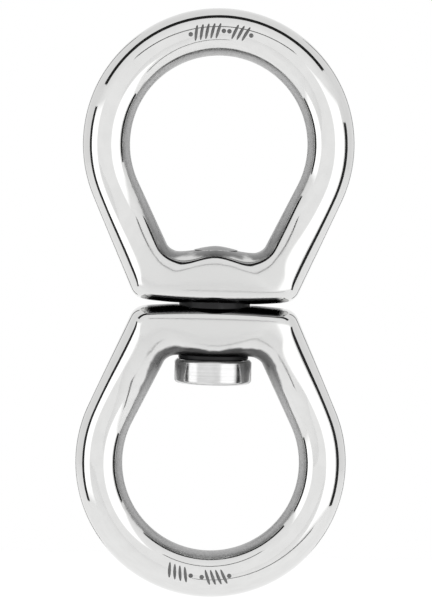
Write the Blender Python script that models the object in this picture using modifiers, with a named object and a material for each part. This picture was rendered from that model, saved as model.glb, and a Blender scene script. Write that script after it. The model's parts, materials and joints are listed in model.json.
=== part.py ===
"""Anchor swivel: two forged eyes that turn against each other on a riveted axle.

Run with: blender --background --python part.py

Units are metres and +Z is up, along the swivel's axis. The origin is on that axis, midway between the faces
of the two eyes, so the upper eye lies above z = 0 and the lower eye below it. Each eye lies in the XZ plane,
and Y is its thickness. Both eyes are the same forging, and the lower one is turned end for end: the upper is
bored for the axle's riveted spigot, and the lower for the bush that the axle's journal runs in.
"""

import math

import bmesh
import bpy
from mathutils import Matrix, Vector

MM = 0.001

# The forged eye: a round bar bent into a ring, with two straight legs that run down to a deeper boss.
BAR = 10.0 * MM
EYE_INNER_RADIUS = 18.75 * MM
EYE_OUTER_RADIUS = EYE_INNER_RADIUS + BAR
EYE_CENTRE_HEIGHT = 33.75 * MM
OUTER_LEG_ANGLE = math.radians(23.7)
INNER_LEG_ANGLE = math.radians(26.1)
OUTER_CORNER_RADIUS = 3.6 * MM
INNER_CORNER_RADIUS = 2.4 * MM
BASE_CROWN_RADIUS = 160.0 * MM
DIP_HEIGHT = 10.8 * MM
DIP_HALF_WIDTH = 7.4 * MM
CREST_HEIGHT = 12.0 * MM
CREST_SHARPNESS = 1.35

# The boss between the legs, where the round section grows deeper and squarer.
BOSS_HALF_DEPTH = 8.6 * MM
BOSS_FLAT_DEPTH = 8.5 * MM
BOSS_PLATEAU = 5.0 * MM
BOSS_REACH = 30.0 * MM
ROUND_EXPONENT = 2.0
BOSS_BASE_EXPONENT = 3.2
BOSS_FLOOR_EXPONENT = 2.5

# The joint between the eyes. FIT is the clearance left between neighbouring pieces.
FACE_GAP = 0.4 * MM
FACING_CUT = 0.25 * MM
FIT = 0.1 * MM

# The axle: a head in the lower eye, a journal through it, and a spigot riveted over in the upper eye.
HEAD_RADIUS = 8.2 * MM
HEAD_HEIGHT = 5.2 * MM
HEAD_TOP_CHAMFER = 0.5 * MM
HEAD_EDGE_RADIUS = 0.8 * MM
LATHE_CENTRE_RADIUS = 1.1 * MM
LATHE_CENTRE_DEPTH = 0.9 * MM
JOURNAL_RADIUS = 4.0 * MM
SPIGOT_RADIUS = 3.5 * MM
RIVET_RADIUS = 4.6 * MM
RIVET_CONE_HEIGHT = 0.85 * MM
RIVET_FLARE = 1.4 * MM
RIVET_STAND = 0.1 * MM

# The washers and the bush.
THRUST_WASHER_RADIUS = 7.5 * MM
THRUST_WASHER_THICKNESS = 1.3 * MM
HEAD_WASHER_RADIUS = 7.4 * MM
HEAD_WASHER_THICKNESS = 0.8 * MM
WASHER_CHAMFER = 0.12 * MM
BUSH_WALL = 0.9 * MM
SEAT_HEIGHT = 10.4 * MM
SEAT_RADIUS = 7.8 * MM

# Heights and radii that follow from those.
BASE = FACE_GAP / 2
CREST = BASE + CREST_HEIGHT
RECESS_FLOOR = THRUST_WASHER_THICKNESS / 2 + FIT
SEAT = BASE + SEAT_HEIGHT
HEAD_TOP = SEAT + HEAD_WASHER_THICKNESS + 2 * FIT
BUSH_INNER_RADIUS = JOURNAL_RADIUS + FIT
BUSH_OUTER_RADIUS = BUSH_INNER_RADIUS + BUSH_WALL

# How finely the round stretches are faceted.
SECTION_SIDES = 24
SHOULDER_STATIONS = 12
WAIST_STATIONS = 4
LEG_STATIONS = 4
CORNER_STATIONS = 6
BASE_STATIONS = 9
TURNED_STEPS = 48
ARC_POINTS = 5
MERGE = 1e-6

POLISHED_316L = {"colour": (0.66, 0.66, 0.65), "roughness": 0.06, "metallic": 1.0}
TURNED_STEEL = {"colour": (0.60, 0.60, 0.60), "roughness": 0.2, "metallic": 1.0}
BLACK_ACETAL = {"colour": (0.02, 0.02, 0.022), "roughness": 0.45, "metallic": 0.0}
BRONZE = {"colour": (0.45, 0.30, 0.14), "roughness": 0.35, "metallic": 1.0}


def clear_scene():
    """Removes whatever the startup file holds."""
    for old in list(bpy.data.objects):
        bpy.data.objects.remove(old, do_unlink=True)


def new_collection(name):
    collection = bpy.data.collections.new(name)
    bpy.context.scene.collection.children.link(collection)
    return collection


def material(name, finish):
    made = bpy.data.materials.new(name)
    made.use_nodes = True
    shader = made.node_tree.nodes["Principled BSDF"]
    shader.inputs["Base Color"].default_value = (*finish["colour"], 1.0)
    shader.inputs["Roughness"].default_value = finish["roughness"]
    shader.inputs["Metallic"].default_value = finish["metallic"]
    return made


def smooth_mesh(name, builder):
    """The bmesh as a mesh with its faces outwards, shaded smooth but for its sharp edges."""
    bmesh.ops.recalc_face_normals(builder, faces=builder.faces)
    mesh = bpy.data.meshes.new(name)
    builder.to_mesh(mesh)
    builder.free()
    mesh.shade_smooth()
    mesh.set_sharp_from_angle(angle=math.radians(30))
    return mesh


def place(name, mesh, collection):
    placed = bpy.data.objects.new(name, mesh)
    collection.objects.link(placed)
    return placed


def on_circle(centre, radius, angle):
    """A point of the XZ plane, as (x, z), at an angle from +X."""
    return centre + radius * Vector((math.cos(angle), math.sin(angle)))


def arc(centre, radius, start, end, steps):
    """Points from start to end, both included."""
    return [on_circle(centre, radius, start + (end - start) * k / steps) for k in range(steps + 1)]


def straight(start, end, steps):
    """Points from start to end, with both left out."""
    return [start.lerp(end, k / steps) for k in range(1, steps)]


def leg_normal(leg_angle):
    return Vector((math.cos(leg_angle), -math.sin(leg_angle)))


def inner_corner_centre():
    """Centre of the arc that joins a leg's inner side to the floor, as (x, z).

    It lies its own radius inside the leg, which is a tangent of the ring, and above the level of the dips.
    """
    height = BASE + DIP_HEIGHT + INNER_CORNER_RADIUS
    drop = EYE_CENTRE_HEIGHT - height
    reach = EYE_INNER_RADIUS - INNER_CORNER_RADIUS - drop * math.sin(INNER_LEG_ANGLE)
    return Vector((reach / math.cos(INNER_LEG_ANGLE), height))


def base_crown_centre():
    """Centre of the wide arc that the unfaced base follows, as (x, z)."""
    return Vector((0.0, BASE - FACING_CUT + BASE_CROWN_RADIUS))


def outer_corner_centre():
    """Centre of the arc that joins a leg's outer side to the base's wide arc, as (x, z)."""
    normal = leg_normal(OUTER_LEG_ANGLE)
    down_the_leg = Vector((normal.y, -normal.x))
    crown = base_crown_centre()
    ring = Vector((0.0, EYE_CENTRE_HEIGHT))
    offset = normal.dot(ring) + EYE_OUTER_RADIUS - OUTER_CORNER_RADIUS - normal.dot(crown)
    along = math.sqrt((BASE_CROWN_RADIUS - OUTER_CORNER_RADIUS) ** 2 - offset**2)
    return crown + normal * offset + down_the_leg * along


def floor_height(x):
    """Height of the floor inside the eye: a low gable over the axle, and a dip on each side of it."""
    share = min(abs(x) / DIP_HALF_WIDTH, 1.0)
    return BASE + DIP_HEIGHT + (CREST_HEIGHT - DIP_HEIGHT) * (1.0 - share) ** CREST_SHARPNESS


def outer_side():
    """The eye's outer outline, from the crown down the +X side to the axis at the base."""
    ring = Vector((0.0, EYE_CENTRE_HEIGHT))
    corner = outer_corner_centre()
    crown = base_crown_centre()
    base_angle = math.atan2(corner.y - crown.y, corner.x - crown.x)
    points = arc(ring, EYE_OUTER_RADIUS, math.pi / 2, 0.0, SHOULDER_STATIONS)
    points += arc(ring, EYE_OUTER_RADIUS, 0.0, -OUTER_LEG_ANGLE, WAIST_STATIONS)[1:]
    turn = arc(corner, OUTER_CORNER_RADIUS, -OUTER_LEG_ANGLE, base_angle, CORNER_STATIONS)
    points += straight(points[-1], turn[0], LEG_STATIONS) + turn
    return points + arc(crown, BASE_CROWN_RADIUS, base_angle, -math.pi / 2, BASE_STATIONS)[1:]


def inner_side():
    """The eye's inner outline, station for station with the outer one."""
    ring = Vector((0.0, EYE_CENTRE_HEIGHT))
    points = arc(ring, EYE_INNER_RADIUS, math.pi / 2, 0.0, SHOULDER_STATIONS)
    points += arc(ring, EYE_INNER_RADIUS, 0.0, -INNER_LEG_ANGLE, WAIST_STATIONS)[1:]
    corner = inner_corner_centre()
    turn = arc(corner, INNER_CORNER_RADIUS, -INNER_LEG_ANGLE, -math.pi / 2, CORNER_STATIONS)
    points += straight(points[-1], turn[0], LEG_STATIONS) + turn
    across = [turn[-1].x * (1.0 - k / BASE_STATIONS) for k in range(1, BASE_STATIONS + 1)]
    return points + [Vector((x, floor_height(x))) for x in across]


def boss_shares(middles):
    """How far each station has grown from the round bar, 0, into the boss, 1."""
    distance = 0.0
    shares = [1.0]
    for here, before in zip(middles[-2::-1], middles[:0:-1]):
        distance += (here - before).length
        along = min(max(distance - BOSS_PLATEAU, 0.0) / (BOSS_REACH - BOSS_PLATEAU), 1.0)
        shares.append((1.0 + math.cos(math.pi * along)) / 2)
    return shares[::-1]


def mix(start, end, share):
    return start + (end - start) * share


def squared(value, exponent):
    """A cosine or sine pushed out from a circle's to a superellipse's."""
    return math.copysign(abs(value) ** (2.0 / exponent), value)


def section(builder, outer, inner, share):
    """The vertices of one cross-section, which is squarer on its outer side than on its inner one."""
    middle, reach = (outer + inner) / 2, (outer - inner) / 2
    depth = mix(BAR / 2, BOSS_HALF_DEPTH, share)
    corners = []
    for side in range(SECTION_SIDES):
        angle = 2 * math.pi * side / SECTION_SIDES
        far_side = BOSS_BASE_EXPONENT if math.cos(angle) > 0 else BOSS_FLOOR_EXPONENT
        exponent = mix(ROUND_EXPONENT, far_side, share)
        across = middle + reach * squared(math.cos(angle), exponent)
        y = depth * squared(math.sin(angle), exponent)
        corners.append(builder.verts.new((across.x, y, across.y)))
    return corners


def half_forging():
    """Half of the eye as it leaves the dies: a loft from the crown to the axis, open at both ends."""
    outer, inner = outer_side(), inner_side()
    middles = [(far + near) / 2 for far, near in zip(outer, inner)]
    outer[0].x = inner[0].x = outer[-1].x = inner[-1].x = 0.0
    builder = bmesh.new()
    sections = [section(builder, *at) for at in zip(outer, inner, boss_shares(middles))]
    for here, following in zip(sections, sections[1:]):
        for side in range(SECTION_SIDES):
            beside = (side + 1) % SECTION_SIDES
            builder.faces.new((here[side], following[side], following[beside], here[beside]))
    return smooth_mesh("half_forging", builder)


def forging(name, half, parts):
    """A whole eye, mirrored from the half that both eyes share."""
    eye = place(name, half, parts)
    mirror = eye.modifiers.new("other_half", "MIRROR")
    mirror.use_axis = (True, False, False)
    mirror.merge_threshold = MERGE
    return eye


def cylinder_cutter(name, radius, low, high, cutters, top_radius=None):
    """A plug about Z from low to high, which may taper to top_radius."""
    builder = bmesh.new()
    bmesh.ops.create_cone(
        builder,
        cap_ends=True,
        segments=TURNED_STEPS,
        radius1=radius,
        radius2=radius if top_radius is None else top_radius,
        depth=high - low,
        matrix=Matrix.Translation((0.0, 0.0, (low + high) / 2)),
    )
    return place(name, smooth_mesh(name, builder), cutters)


def block_cutter(name, low, high, cutters):
    """A box between two corners."""
    builder = bmesh.new()
    size = high - low
    matrix = Matrix.Translation((low + high) / 2) @ Matrix.Diagonal((*size, 1.0))
    bmesh.ops.create_cube(builder, size=1.0, matrix=matrix)
    return place(name, smooth_mesh(name, builder), cutters)


def machining_common_to_both(prefix, cutters):
    """The faced base, the recess for the thrust washer, and the flats on the front and back of the boss."""
    wide, past = 2 * EYE_OUTER_RADIUS, 2 * BOSS_HALF_DEPTH
    top = EYE_CENTRE_HEIGHT
    base = block_cutter(prefix + "_facing", Vector((-wide, -past, -past)), Vector((wide, past, BASE)), cutters)
    front_low, front_high = Vector((-wide, -past, -past)), Vector((wide, -BOSS_FLAT_DEPTH, top))
    back_low, back_high = Vector((-wide, BOSS_FLAT_DEPTH, -past)), Vector((wide, past, top))
    recess_radius = THRUST_WASHER_RADIUS + FIT
    return [
        base,
        block_cutter(prefix + "_front_flat", front_low, front_high, cutters),
        block_cutter(prefix + "_back_flat", back_low, back_high, cutters),
        cylinder_cutter(prefix + "_washer_recess", recess_radius, -BAR, RECESS_FLOOR, cutters),
    ]


def cut(target, tools):
    for tool in tools:
        tool.hide_render = True
        tool.display_type = "WIRE"
        boolean = target.modifiers.new(tool.name, "BOOLEAN")
        boolean.operation = "DIFFERENCE"
        boolean.solver = "EXACT"
        boolean.object = tool


def upper_bail(half, parts, cutters):
    """The eye that carries the axle, bored for the spigot and countersunk for its riveted end."""
    eye = forging("upper_bail", half, parts)
    bore = cylinder_cutter("spigot_bore", SPIGOT_RADIUS + FIT, -BAR, CREST + BAR, cutters)
    rivet_edge = CREST + RIVET_STAND - RIVET_CONE_HEIGHT
    widening = 2 * (RIVET_RADIUS - SPIGOT_RADIUS)
    countersink = cylinder_cutter(
        "rivet_countersink",
        SPIGOT_RADIUS + FIT,
        rivet_edge - RIVET_FLARE,
        rivet_edge + RIVET_FLARE,
        cutters,
        top_radius=SPIGOT_RADIUS + FIT + widening,
    )
    cut(eye, machining_common_to_both("upper", cutters) + [bore, countersink])
    return eye


def lower_bail(half, parts, cutters):
    """The eye that turns on the axle, bored for the bush and spot-faced for the washer under the head."""
    turned_over = bpy.data.objects.new("lower_eye_frame", None)
    parts.objects.link(turned_over)
    turned_over.rotation_euler.x = math.pi
    eye = forging("lower_bail", half, parts)
    bore = cylinder_cutter("bush_bore", BUSH_OUTER_RADIUS + FIT, -BAR, CREST + BAR, cutters)
    seat = cylinder_cutter("head_spot_face", SEAT_RADIUS, SEAT, CREST + BAR, cutters)
    tools = machining_common_to_both("lower", cutters) + [bore, seat]
    for built_upright in [eye, *tools]:
        built_upright.parent = turned_over
    cut(eye, tools)
    return eye


def turned(name, profile, parts, closed=False):
    """A solid of revolution about Z. The profile's (radius, z) points run down its outer side, and a
    closed profile makes a ring."""
    mesh = bpy.data.meshes.new(name)
    edges = [(k, k + 1) for k in range(len(profile) - 1)]
    if closed:
        edges.append((len(profile) - 1, 0))
    mesh.from_pydata([(radius, 0.0, z) for radius, z in profile], edges, [])
    piece = place(name, mesh, parts)
    screw = piece.modifiers.new("turn", "SCREW")
    screw.axis = "Z"
    screw.angle = 2 * math.pi
    screw.steps = TURNED_STEPS
    screw.render_steps = TURNED_STEPS
    screw.use_merge_vertices = True
    screw.merge_threshold = MERGE
    return piece


def axle(parts):
    """The stepped pin, from its riveted end in the upper eye down to the head in the lower one."""
    tip = CREST + RIVET_STAND
    rivet_edge = tip - RIVET_CONE_HEIGHT
    shoulder = RECESS_FLOOR - FIT
    head_top, head_foot = -HEAD_TOP, -HEAD_TOP - HEAD_HEIGHT
    rounding = Vector((HEAD_RADIUS - HEAD_EDGE_RADIUS, head_foot + HEAD_EDGE_RADIUS))
    profile = [
        (0.0, tip),
        (RIVET_RADIUS, rivet_edge),
        (SPIGOT_RADIUS, rivet_edge - RIVET_FLARE),
        (SPIGOT_RADIUS, shoulder),
        (JOURNAL_RADIUS, shoulder),
        (JOURNAL_RADIUS, head_top),
        (HEAD_RADIUS - HEAD_TOP_CHAMFER, head_top),
        (HEAD_RADIUS, head_top - HEAD_TOP_CHAMFER),
    ]
    profile += arc(rounding, HEAD_EDGE_RADIUS, 0.0, -math.pi / 2, ARC_POINTS)
    profile += [(LATHE_CENTRE_RADIUS, head_foot), (0.0, head_foot + LATHE_CENTRE_DEPTH)]
    return turned("axle", profile, parts)


def ring(name, inner_radius, outer_radius, low, high, parts):
    """A washer or bush, whose outer edges are broken with a small chamfer."""
    profile = [
        (inner_radius, high),
        (outer_radius - WASHER_CHAMFER, high),
        (outer_radius, high - WASHER_CHAMFER),
        (outer_radius, low + WASHER_CHAMFER),
        (outer_radius - WASHER_CHAMFER, low),
        (inner_radius, low),
    ]
    return turned(name, profile, parts, closed=True)


def thrust_washer(parts):
    """The plain washer between the eyes, sunk half into each, which keeps steel off steel."""
    half = THRUST_WASHER_THICKNESS / 2
    return ring("thrust_washer", JOURNAL_RADIUS + FIT, THRUST_WASHER_RADIUS, -half, half, parts)


def head_washer(parts):
    """The thin washer that carries the pull, between the lower eye's spot face and the axle's head."""
    high = -SEAT - FIT
    low = high - HEAD_WASHER_THICKNESS
    return ring("head_washer", JOURNAL_RADIUS + FIT, HEAD_WASHER_RADIUS, low, high, parts)


def bush(parts):
    """The plain bearing pressed into the lower eye, which the axle's journal turns in."""
    return ring("bush", BUSH_INNER_RADIUS, BUSH_OUTER_RADIUS, -SEAT, -RECESS_FLOOR - FIT, parts)


def main():
    clear_scene()
    parts, cutters = new_collection("anchor_swivel"), new_collection("cutters")
    polished, lathe_turned = material("polished_316l", POLISHED_316L), material("turned_steel", TURNED_STEEL)
    acetal, bronze = material("black_acetal", BLACK_ACETAL), material("bronze", BRONZE)
    half = half_forging()
    half.materials.append(polished)
    upper_bail(half, parts, cutters)
    lower_bail(half, parts, cutters)
    axle(parts).data.materials.append(lathe_turned)
    thrust_washer(parts).data.materials.append(acetal)
    head_washer(parts).data.materials.append(acetal)
    bush(parts).data.materials.append(bronze)


main()
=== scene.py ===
"""Anchor swivel: its looks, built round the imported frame.

The two forged eyes, the axle, the washers and the bush are rebuilt finely over their CAD nodes and ride on
their bodies. Everything is in metres, +Z runs up the swivel's axis, and -Y faces the viewer.
"""

from __future__ import annotations

import json
import logging
import math
from collections.abc import Iterable, Mapping, Sequence
from dataclasses import dataclass, replace
from enum import Enum
from typing import Any

import bmesh
import bpy
from mathutils import Matrix, Vector

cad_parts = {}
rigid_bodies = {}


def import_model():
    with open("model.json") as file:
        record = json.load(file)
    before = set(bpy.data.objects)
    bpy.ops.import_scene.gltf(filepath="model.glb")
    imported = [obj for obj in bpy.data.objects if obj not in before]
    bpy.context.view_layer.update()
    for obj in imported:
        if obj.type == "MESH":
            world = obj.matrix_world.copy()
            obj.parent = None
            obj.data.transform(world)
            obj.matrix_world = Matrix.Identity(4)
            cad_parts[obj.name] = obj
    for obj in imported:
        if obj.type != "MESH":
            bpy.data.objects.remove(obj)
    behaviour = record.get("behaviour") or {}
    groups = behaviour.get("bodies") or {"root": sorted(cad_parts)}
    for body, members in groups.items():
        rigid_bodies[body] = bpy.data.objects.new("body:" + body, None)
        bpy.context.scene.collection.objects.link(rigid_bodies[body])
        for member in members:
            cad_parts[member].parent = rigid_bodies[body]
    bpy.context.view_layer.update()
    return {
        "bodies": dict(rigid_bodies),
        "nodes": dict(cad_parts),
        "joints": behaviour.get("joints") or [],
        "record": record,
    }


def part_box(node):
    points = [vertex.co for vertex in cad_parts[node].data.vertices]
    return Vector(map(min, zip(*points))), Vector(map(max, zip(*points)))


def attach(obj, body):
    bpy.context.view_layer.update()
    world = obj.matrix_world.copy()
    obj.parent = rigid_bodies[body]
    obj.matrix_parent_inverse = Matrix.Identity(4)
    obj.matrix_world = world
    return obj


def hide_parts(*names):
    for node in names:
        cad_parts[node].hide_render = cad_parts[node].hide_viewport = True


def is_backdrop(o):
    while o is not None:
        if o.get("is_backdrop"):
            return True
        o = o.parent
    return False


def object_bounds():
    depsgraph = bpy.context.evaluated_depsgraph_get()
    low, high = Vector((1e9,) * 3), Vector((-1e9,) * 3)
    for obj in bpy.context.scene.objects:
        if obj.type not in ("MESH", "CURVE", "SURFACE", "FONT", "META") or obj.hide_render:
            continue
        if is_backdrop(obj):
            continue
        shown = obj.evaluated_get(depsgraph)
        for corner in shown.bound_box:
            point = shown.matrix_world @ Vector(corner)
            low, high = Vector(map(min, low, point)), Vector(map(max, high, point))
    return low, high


MM = 0.001
FIT = 0.1 * MM
WHITE = (1.0, 1.0, 1.0, 1.0)

Colour = tuple[float, float, float]
Outline = list[Vector]

log = logging.getLogger("anchor_swivel")


class Body(Enum):
    """The bodies that pieces ride on."""

    UPPER_EYE = "upper_eye_and_axle"
    LOWER_EYE = "lower_eye"
    THRUST_WASHER = "thrust_washer"
    HEAD_WASHER = "head_washer"


class Slot(Enum):
    """The record's material slots."""

    POLISHED = "polished_316l"
    TURNED = "turned_steel"
    ACETAL = "black_acetal"
    BRONZE = "bronze"


class Stroke(Enum):
    """The plain shapes that a row of stamped marks is made of, and how a row's pattern spells them."""

    DOT = "."
    BAR = "|"
    SPACE = " "


# ---------------------------------------------------------------------------------------------------------
# Node graphs
# ---------------------------------------------------------------------------------------------------------


@dataclass(frozen=True)
class Wire:
    """An output socket that takes part in sums and products."""

    graph: Graph
    socket: bpy.types.NodeSocket

    def __add__(self, other: Wire | float) -> Wire:
        """This plus other."""
        return self.graph.maths("ADD", self, other)

    def __radd__(self, other: float) -> Wire:
        """Other plus this."""
        return self.graph.maths("ADD", other, self)

    def __sub__(self, other: Wire | float) -> Wire:
        """This less other."""
        return self.graph.maths("SUBTRACT", self, other)

    def __rsub__(self, other: float) -> Wire:
        """Other less this."""
        return self.graph.maths("SUBTRACT", other, self)

    def __mul__(self, other: Wire | float) -> Wire:
        """This times other."""
        return self.graph.maths("MULTIPLY", self, other)

    def __rmul__(self, other: float) -> Wire:
        """Other times this."""
        return self.graph.maths("MULTIPLY", other, self)

    def __truediv__(self, other: Wire | float) -> Wire:
        """This over other."""
        return self.graph.maths("DIVIDE", self, other)

    def __rtruediv__(self, other: float) -> Wire:
        """Other over this."""
        return self.graph.maths("DIVIDE", other, self)

    def __pow__(self, other: Wire | float) -> Wire:
        """This to the power of other."""
        return self.graph.maths("POWER", self, other)

    def __abs__(self) -> Wire:
        """The size of this, without its sign."""
        return self.graph.maths("ABSOLUTE", self)

    def __gt__(self, other: Wire | float) -> Wire:
        """1 where this is above other, or else 0."""
        return self.graph.maths("GREATER_THAN", self, other)


Feed = Wire | float | Sequence[float] | str | bpy.types.ID


def dimmed(colour: Colour, share: float) -> Colour:
    """A colour at a share of its brightness."""
    red, green, blue = colour
    return share * red, share * green, share * blue


class Graph:
    """A node tree, shader or geometry, that is written as Python expressions."""

    def __init__(self, tree: bpy.types.NodeTree) -> None:
        """Wraps a tree and clears it."""
        self.tree = tree
        tree.nodes.clear()

    @staticmethod
    def find(sockets: Iterable[bpy.types.NodeSocket], key: str | int) -> bpy.types.NodeSocket:
        """The socket in use that has this name or index."""
        listed = list(sockets)
        if isinstance(key, int):
            return listed[key]
        return next(socket for socket in listed if socket.name == key and socket.enabled)

    def node(
        self,
        kind: str,
        settings: Mapping[str, Any] | None = None,
        inputs: Mapping[str | int, Feed] | None = None,
    ) -> bpy.types.Node:
        """Adds a node.

        Args:
            kind: The node's type.
            settings: Properties that are set before its sockets are filled.
            inputs: A value or a wire for each socket, by name or index.

        Returns:
            The node.
        """
        made = self.tree.nodes.new(kind)
        for name, value in (settings or {}).items():
            setattr(made, name, value)
        for key, value in (inputs or {}).items():
            socket = self.find(made.inputs, key)
            if isinstance(value, Wire):
                self.tree.links.new(value.socket, socket)
            else:
                socket.default_value = value
        return made

    def wire(
        self,
        kind: str,
        settings: Mapping[str, Any] | None = None,
        inputs: Mapping[str | int, Feed] | None = None,
        output: str | int = 0,
    ) -> Wire:
        """Adds a node as node() does.

        Args:
            kind: The node's type.
            settings: Properties that are set before its sockets are filled.
            inputs: A value or a wire for each socket, by name or index.
            output: The name or index of the output to read.

        Returns:
            That output.
        """
        return Wire(self, self.find(self.node(kind, settings, inputs).outputs, output))

    def maths(self, operation: str, *values: Wire | float) -> Wire:
        """A Math node on one, two or three values."""
        return self.wire("ShaderNodeMath", {"operation": operation}, dict(enumerate(values)))

    def vectors(self, operation: str, *values: Wire | Sequence[float]) -> Wire:
        """A Vector Math node that gives a vector."""
        return self.wire("ShaderNodeVectorMath", {"operation": operation}, dict(enumerate(values)))

    def dot(self, one: Wire, other: Wire | Sequence[float]) -> Wire:
        """The dot product of two vectors."""
        settings = {"operation": "DOT_PRODUCT"}
        return self.wire("ShaderNodeVectorMath", settings, {0: one, 1: other}, "Value")

    def stretched(self, vector: Wire, factor: Wire | float) -> Wire:
        """A vector times a number."""
        settings = {"operation": "SCALE"}
        return self.wire("ShaderNodeVectorMath", settings, {0: vector, "Scale": factor})

    def parts(self, vector: Wire) -> tuple[Wire, Wire, Wire]:
        """The three parts of a vector."""
        split = self.node("ShaderNodeSeparateXYZ", inputs={0: vector})
        x, y, z = (Wire(self, output) for output in split.outputs)
        return x, y, z

    def joined(self, x: Wire | float, y: Wire | float, z: Wire | float) -> Wire:
        """A vector from its three parts."""
        return self.wire("ShaderNodeCombineXYZ", inputs={0: x, 1: y, 2: z})

    def ramped(self, value: Wire, low: float, high: float) -> Wire:
        """A smooth step from 0 at low to 1 at high."""
        settings = {"interpolation_type": "SMOOTHSTEP"}
        return self.wire("ShaderNodeMapRange", settings, {"Value": value, "From Min": low, "From Max": high})

    def between(self, start: Wire | float, end: Wire | float, share: Wire) -> Wire:
        """A number between start and end."""
        settings = {"data_type": "FLOAT"}
        return self.wire("ShaderNodeMix", settings, {"Factor": share, "A": start, "B": end}, "Result")


class Paint(Graph):
    """A material's shader tree."""

    def __init__(self, material: bpy.types.Material) -> None:
        """Clears the material's nodes."""
        material.use_nodes = True
        super().__init__(material.node_tree)

    def place(self) -> Wire:
        """The point of the surface, in its piece's own coordinates."""
        return self.wire("ShaderNodeTexCoord", output="Object")

    def mark(self, name: str) -> Wire:
        """A number stored on the mesh under a name."""
        return self.wire("ShaderNodeAttribute", {"attribute_name": name}, output="Fac")

    def noise(self, where: Wire, wavelength: Sequence[float], detail: float = 2.0) -> Wire:
        """Smooth noise about 0.5.

        Args:
            where: The point, in metres.
            wavelength: The noise's rough size along X, Y and Z, in metres.
            detail: How many finer octaves are added.

        Returns:
            The noise, mostly between 0.25 and 0.75.
        """
        scaled = self.vectors("MULTIPLY", where, [1.0 / size for size in wavelength])
        return self.wire("ShaderNodeTexNoise", inputs={"Vector": scaled, "Scale": 1.0, "Detail": detail})

    def tinted(self, start: Wire | Colour, end: Wire | Colour, share: Wire | float) -> Wire:
        """A colour between start and end."""
        colours = {
            key: value if isinstance(value, Wire) else (*value, 1.0)
            for key, value in (("A", start), ("B", end))
        }
        inputs = {"Factor": share, **colours}
        return self.wire("ShaderNodeMix", {"data_type": "RGBA"}, inputs, "Result")

    def bumped(self, height: Wire, depth: float) -> Wire:
        """The normal of a surface whose height swings through depth metres."""
        return self.wire("ShaderNodeBump", inputs={"Strength": 1.0, "Distance": depth, "Height": height})

    def finish(self, inputs: Mapping[str | int, Feed]) -> None:
        """Ends the tree in a Principled BSDF with these inputs."""
        shader = self.wire("ShaderNodeBsdfPrincipled", inputs=inputs)
        self.node("ShaderNodeOutputMaterial", inputs={"Surface": shader})


# ---------------------------------------------------------------------------------------------------------
# Finishes
# ---------------------------------------------------------------------------------------------------------


@dataclass(frozen=True)
class MirrorPolish:
    """Forged stainless steel, buffed bright outside, ground inside the eye and coloured darker there as
    painted shade.
    """

    name: str = "buffed_stainless"
    colour: Colour = (0.665, 0.665, 0.66)
    roughness: float = 0.045
    # The inner zone's colours are painted shade, darkest by the boss; its roughness and scratches are the
    # real ground finish.
    ground_shade_colour: Colour = (0.43, 0.43, 0.43)
    boss_ground_shade_colour: Colour = (0.19, 0.19, 0.19)
    ground_roughness: float = 0.26
    ground_from: float = 0.66
    ground_to: float = 0.80
    boss_spread: float = 0.0
    satin: float = 0.16
    front_shade: float = 0.90
    # The faces at the joint are painted near black, as shade in the gap between the eyes.
    joint_shade_colour: Colour = (0.022, 0.022, 0.023)
    joint_roughness: float = 0.22
    ripple_length: float = 2.4 * MM
    ripple_depth: float = 0.006 * MM
    scratch_size: tuple[float, float, float] = (0.32 * MM, 4.48 * MM, 0.32 * MM)
    scratch_shade: float = 0.72
    streak_size: tuple[float, float, float] = (3.1 * MM, 0.5 * MM, 3.1 * MM)
    streak_shade: float = 0.96
    streak_from: float = 0.30
    streak_to: float = 0.72
    streak_roughness: float = 0.02
    scratch_roughness: float = 0.12
    edge_wander: float = 0.22
    joint_shade_gain: float = 2.2

    def make(self) -> bpy.types.Material:
        """The finish as a material."""
        made = bpy.data.materials.new(self.name)
        paint = Paint(made)
        where = paint.place()
        ripple = paint.noise(where, [self.ripple_length] * 3, 2.5)
        hatch = paint.noise(where, self.scratch_size)
        streak = paint.noise(where, self.streak_size)
        wander = (ripple - 0.5) * self.edge_wander
        edge = paint.mark("inward") + paint.mark("boss") * self.boss_spread + wander
        # The inner zone: ground finish in its roughness and bumps, painted shade in its colour.
        ground_and_shade = paint.ramped(edge, self.ground_from, self.ground_to)
        rubbed = paint.ramped(streak, self.streak_from, self.streak_to)
        bright = paint.tinted(self.colour, dimmed(self.colour, self.streak_shade), rubbed)
        front = paint.mark("front_flat")
        shaded = paint.tinted(bright, dimmed(self.colour, self.front_shade), front)
        # Painted shade: the inside of the eye is coloured darker, darkest by the boss.
        deep = paint.tinted(self.ground_shade_colour, self.boss_ground_shade_colour, paint.mark("boss"))
        scratched = paint.tinted(deep, (0.0, 0.0, 0.0), 1.0 - self.scratch_shade)
        dull_and_shaded = paint.tinted(deep, scratched, hatch)
        roughness = self.roughness + rubbed * self.streak_roughness + front * self.satin
        height = ripple + (hatch - 0.5) * ground_and_shade
        # Painted shade: the faces at the joint are coloured near black, with a faint scratched variation.
        joint = paint.mark("joint_face")
        wear_and_shade = paint.tinted(self.joint_shade_colour, dimmed(self.joint_shade_colour, self.joint_shade_gain), hatch)
        dull_roughness = self.ground_roughness + hatch * self.scratch_roughness
        polish = paint.between(roughness, dull_roughness, ground_and_shade)
        paint.finish(
            {
                "Base Color": paint.tinted(paint.tinted(shaded, dull_and_shaded, ground_and_shade), wear_and_shade, joint),
                "Metallic": 1.0,
                "Roughness": paint.between(polish, self.joint_roughness, joint),
                "Normal": paint.bumped(height, self.ripple_depth),
            }
        )
        return made


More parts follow.
